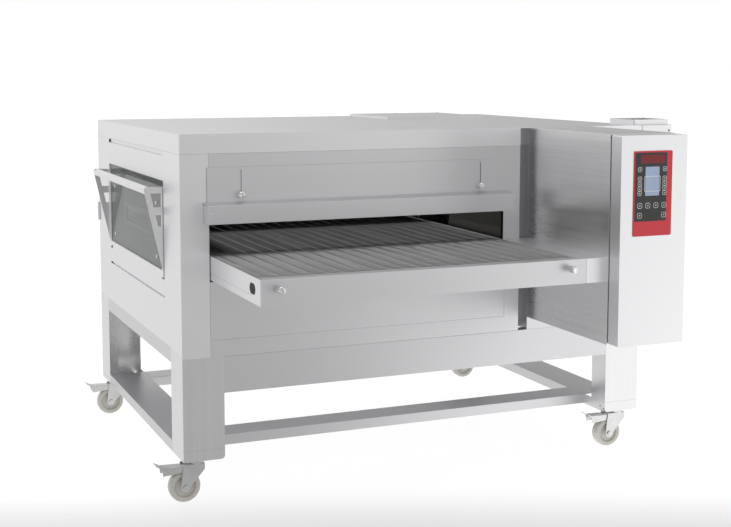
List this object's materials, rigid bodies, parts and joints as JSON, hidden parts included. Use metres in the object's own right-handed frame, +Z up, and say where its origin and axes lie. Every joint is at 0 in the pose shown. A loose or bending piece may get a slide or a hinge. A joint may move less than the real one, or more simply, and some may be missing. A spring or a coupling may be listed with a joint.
{
  "type": "conveyor pizza oven",
  "caption": "Conveyor pizza oven: steel tunnel body with a wire belt running through, shutters over the mouths, a side window door, a control box and a stand on braked casters.",
  "frame": {"origin": "on the floor, under the middle of the whole object's box", "axes": "+Z up; -Y towards the loading end of the conveyor and the control box; -X towards the side with the inspection door; the belt runs along Y"},
  "size_m": [1.855, 2.3064, 1.167],
  "materials": {
    "bright_sheet": "satin brushed stainless steel sheet",
    "wide_sheet": "satin brushed stainless steel sheet",
    "stand_steel": "satin brushed stainless steel sheet",
    "chamber_steel": "heat-darkened steel",
    "knob_steel": "polished steel",
    "zinc": "bright zinc plate",
    "belt_wire": "woven stainless wire",
    "shaft_steel": "turned steel",
    "black_plastic": "moulded black plastic",
    "motor_paint": "dark machine paint",
    "chain_steel": "oiled steel",
    "wheel_nylon": "moulded grey-beige nylon",
    "door_glass": "dark heat-resistant glass",
    "keypad_film": "printed keypad film",
    "hinge_steel": "satin steel"
  },
  "bodies": {
    "oven": {"base_pan": "stand_steel", "corner_posts": "bright_sheet", "left_service_panel": "bright_sheet", "front_panel": "wide_sheet", "rear_panel": "wide_sheet", "right_casing": "wide_sheet", "top_cover": "bright_sheet", "top_access_plate": "bright_sheet", "baking_chamber": "chamber_steel", "air_fingers": "chamber_steel", "fan_motor": "motor_paint", "burner_tube": "chamber_steel", "flue_box": "bright_sheet", "flue_collar": "bright_sheet", "door_hinges": "hinge_steel", "conveyor_frame": "bright_sheet", "mesh_belt": "belt_wire", "bearing_blocks": "black_plastic", "control_box": "wide_sheet", "control_box_cover": "bright_sheet", "keypad_panel": "keypad_film", "gear_motor": "motor_paint", "drive_chain": "chain_steel", "leg_front_left": "stand_steel", "leg_front_right": "stand_steel", "leg_rear_left": "stand_steel", "leg_rear_right": "stand_steel", "upper_side_rails": "stand_steel", "aprons": "stand_steel", "lower_side_rails": "stand_steel", "lower_cross_rails": "stand_steel", "caster_plates": "zinc"},
    "door": {"door_glass": "door_glass", "door_handle_frame": "bright_sheet"},
    "front_shutter": {"front_shutter": "wide_sheet"},
    "rear_shutter": {"rear_shutter": "wide_sheet"},
    "front_left_knob": {"front_left_knob": "knob_steel"},
    "front_right_knob": {"front_right_knob": "knob_steel"},
    "rear_left_knob": {"rear_left_knob": "knob_steel"},
    "rear_right_knob": {"rear_right_knob": "knob_steel"},
    "front_tray": {"front_crumb_tray": "wide_sheet", "front_tray_knobs": "knob_steel"},
    "rear_tray": {"rear_crumb_tray": "wide_sheet", "rear_tray_knobs": "knob_steel"},
    "drive_shaft": {"drive_shaft": "shaft_steel"},
    "idler_shaft": {"idler_shaft": "shaft_steel"},
    "motor_sprocket": {"motor_sprocket": "shaft_steel"},
    "fan_wheel": {"circulation_fan": "shaft_steel"},
    "fork_front_left": {"caster_fork_front_left": "zinc"},
    "wheel_front_left": {"caster_wheel_front_left": "wheel_nylon"},
    "pedal_front_left": {"brake_pedal_front_left": "zinc"},
    "fork_front_right": {"caster_fork_front_right": "zinc"},
    "wheel_front_right": {"caster_wheel_front_right": "wheel_nylon"},
    "pedal_front_right": {"brake_pedal_front_right": "zinc"},
    "fork_rear_left": {"caster_fork_rear_left": "zinc"},
    "wheel_rear_left": {"caster_wheel_rear_left": "wheel_nylon"},
    "pedal_rear_left": {"brake_pedal_rear_left": "zinc"},
    "fork_rear_right": {"caster_fork_rear_right": "zinc"},
    "wheel_rear_right": {"caster_wheel_rear_right": "wheel_nylon"},
    "pedal_rear_right": {"brake_pedal_rear_right": "zinc"}
  },
  "joints": [
    {"name": "door_hinge", "type": "hinge", "parent": "oven", "child": "door", "pos_m": [-0.8465, 0.01025, 0.685], "axis": [0, -1, 0], "range_deg": [0, 90]},
    {"name": "front_shutter_slide", "type": "slide", "parent": "oven", "child": "front_shutter", "axis": [0, 0, -1], "range_m": [0, 0.072]},
    {"name": "rear_shutter_slide", "type": "slide", "parent": "oven", "child": "rear_shutter", "axis": [0, 0, -1], "range_m": [0, 0.072]},
    {"name": "front_left_knob_turn", "type": "hinge", "parent": "oven", "child": "front_left_knob", "pos_m": [-0.6605, -0.62075, 0.961], "axis": [0, -1, 0], "range_deg": [0, 360]},
    {"name": "front_right_knob_turn", "type": "hinge", "parent": "oven", "child": "front_right_knob", "pos_m": [0.1645, -0.62075, 0.961], "axis": [0, -1, 0], "range_deg": [0, 360]},
    {"name": "rear_left_knob_turn", "type": "hinge", "parent": "oven", "child": "rear_left_knob", "pos_m": [-0.6605, 0.64225, 0.961], "axis": [0, 1, 0], "range_deg": [0, 360]},
    {"name": "rear_right_knob_turn", "type": "hinge", "parent": "oven", "child": "rear_right_knob", "pos_m": [0.1645, 0.64225, 0.961], "axis": [0, 1, 0], "range_deg": [0, 360]},
    {"name": "front_tray_slide", "type": "slide", "parent": "oven", "child": "front_tray", "axis": [0, -1, 0], "range_m": [0, 0.4]},
    {"name": "rear_tray_slide", "type": "slide", "parent": "oven", "child": "rear_tray", "axis": [0, 1, 0], "range_m": [0, 0.4]},
    {"name": "drive_shaft_turn", "type": "hinge", "parent": "oven", "child": "drive_shaft", "pos_m": [-0.2495, -1.02475, 0.742], "axis": [1, 0, 0], "continuous": true},
    {"name": "idler_shaft_turn", "type": "hinge", "parent": "oven", "child": "idler_shaft", "pos_m": [-0.2495, 1.04625, 0.742], "axis": [1, 0, 0], "continuous": true},
    {"name": "motor_sprocket_turn", "type": "hinge", "parent": "oven", "child": "motor_sprocket", "pos_m": [0.3705, -0.85675, 0.603], "axis": [1, 0, 0], "continuous": true},
    {"name": "fan_turn", "type": "hinge", "parent": "oven", "child": "fan_wheel", "pos_m": [0.3505, 0.01075, 0.818], "axis": [1, 0, 0], "continuous": true},
    {"name": "swivel_front_left", "type": "hinge", "parent": "oven", "child": "fork_front_left", "pos_m": [-0.7975, -0.55175, 0.118], "axis": [0, 0, 1], "continuous": true},
    {"name": "roll_front_left", "type": "hinge", "parent": "fork_front_left", "child": "wheel_front_left", "pos_m": [-0.8355, -0.55175, 0.05], "axis": [0, 1, 0], "continuous": true},
    {"name": "brake_front_left", "type": "hinge", "parent": "fork_front_left", "child": "pedal_front_left", "pos_m": [-0.8315, -0.55175, 0.109], "axis": [0, 1, 0], "range_deg": [-12, 0]},
    {"name": "swivel_front_right", "type": "hinge", "parent": "oven", "child": "fork_front_right", "pos_m": [0.7525, -0.55175, 0.118], "axis": [0, 0, 1], "continuous": true},
    {"name": "roll_front_right", "type": "hinge", "parent": "fork_front_right", "child": "wheel_front_right", "pos_m": [0.7145, -0.55175, 0.05], "axis": [0, 1, 0], "continuous": true},
    {"name": "brake_front_right", "type": "hinge", "parent": "fork_front_right", "child": "pedal_front_right", "pos_m": [0.7185, -0.55175, 0.109], "axis": [0, 1, 0], "range_deg": [-12, 0]},
    {"name": "swivel_rear_left", "type": "hinge", "parent": "oven", "child": "fork_rear_left", "pos_m": [-0.7975, 0.57325, 0.118], "axis": [0, 0, 1], "continuous": true},
    {"name": "roll_rear_left", "type": "hinge", "parent": "fork_rear_left", "child": "wheel_rear_left", "pos_m": [-0.8355, 0.57325, 0.05], "axis": [0, 1, 0], "continuous": true},
    {"name": "brake_rear_left", "type": "hinge", "parent": "fork_rear_left", "child": "pedal_rear_left", "pos_m": [-0.8315, 0.57325, 0.109], "axis": [0, 1, 0], "range_deg": [-12, 0]},
    {"name": "swivel_rear_right", "type": "hinge", "parent": "oven", "child": "fork_rear_right", "pos_m": [0.7525, 0.57325, 0.118], "axis": [0, 0, 1], "continuous": true},
    {"name": "roll_rear_right", "type": "hinge", "parent": "fork_rear_right", "child": "wheel_rear_right", "pos_m": [0.7145, 0.57325, 0.05], "axis": [0, 1, 0], "continuous": true},
    {"name": "brake_rear_right", "type": "hinge", "parent": "fork_rear_right", "child": "pedal_rear_right", "pos_m": [0.7185, 0.57325, 0.109], "axis": [0, 1, 0], "range_deg": [-12, 0]}
  ],
  "couplings": [
    {"joint": "idler_shaft_turn", "follows": "drive_shaft_turn", "ratio": 1},
    {"joint": "motor_sprocket_turn", "follows": "drive_shaft_turn", "ratio": 1}
  ]
}
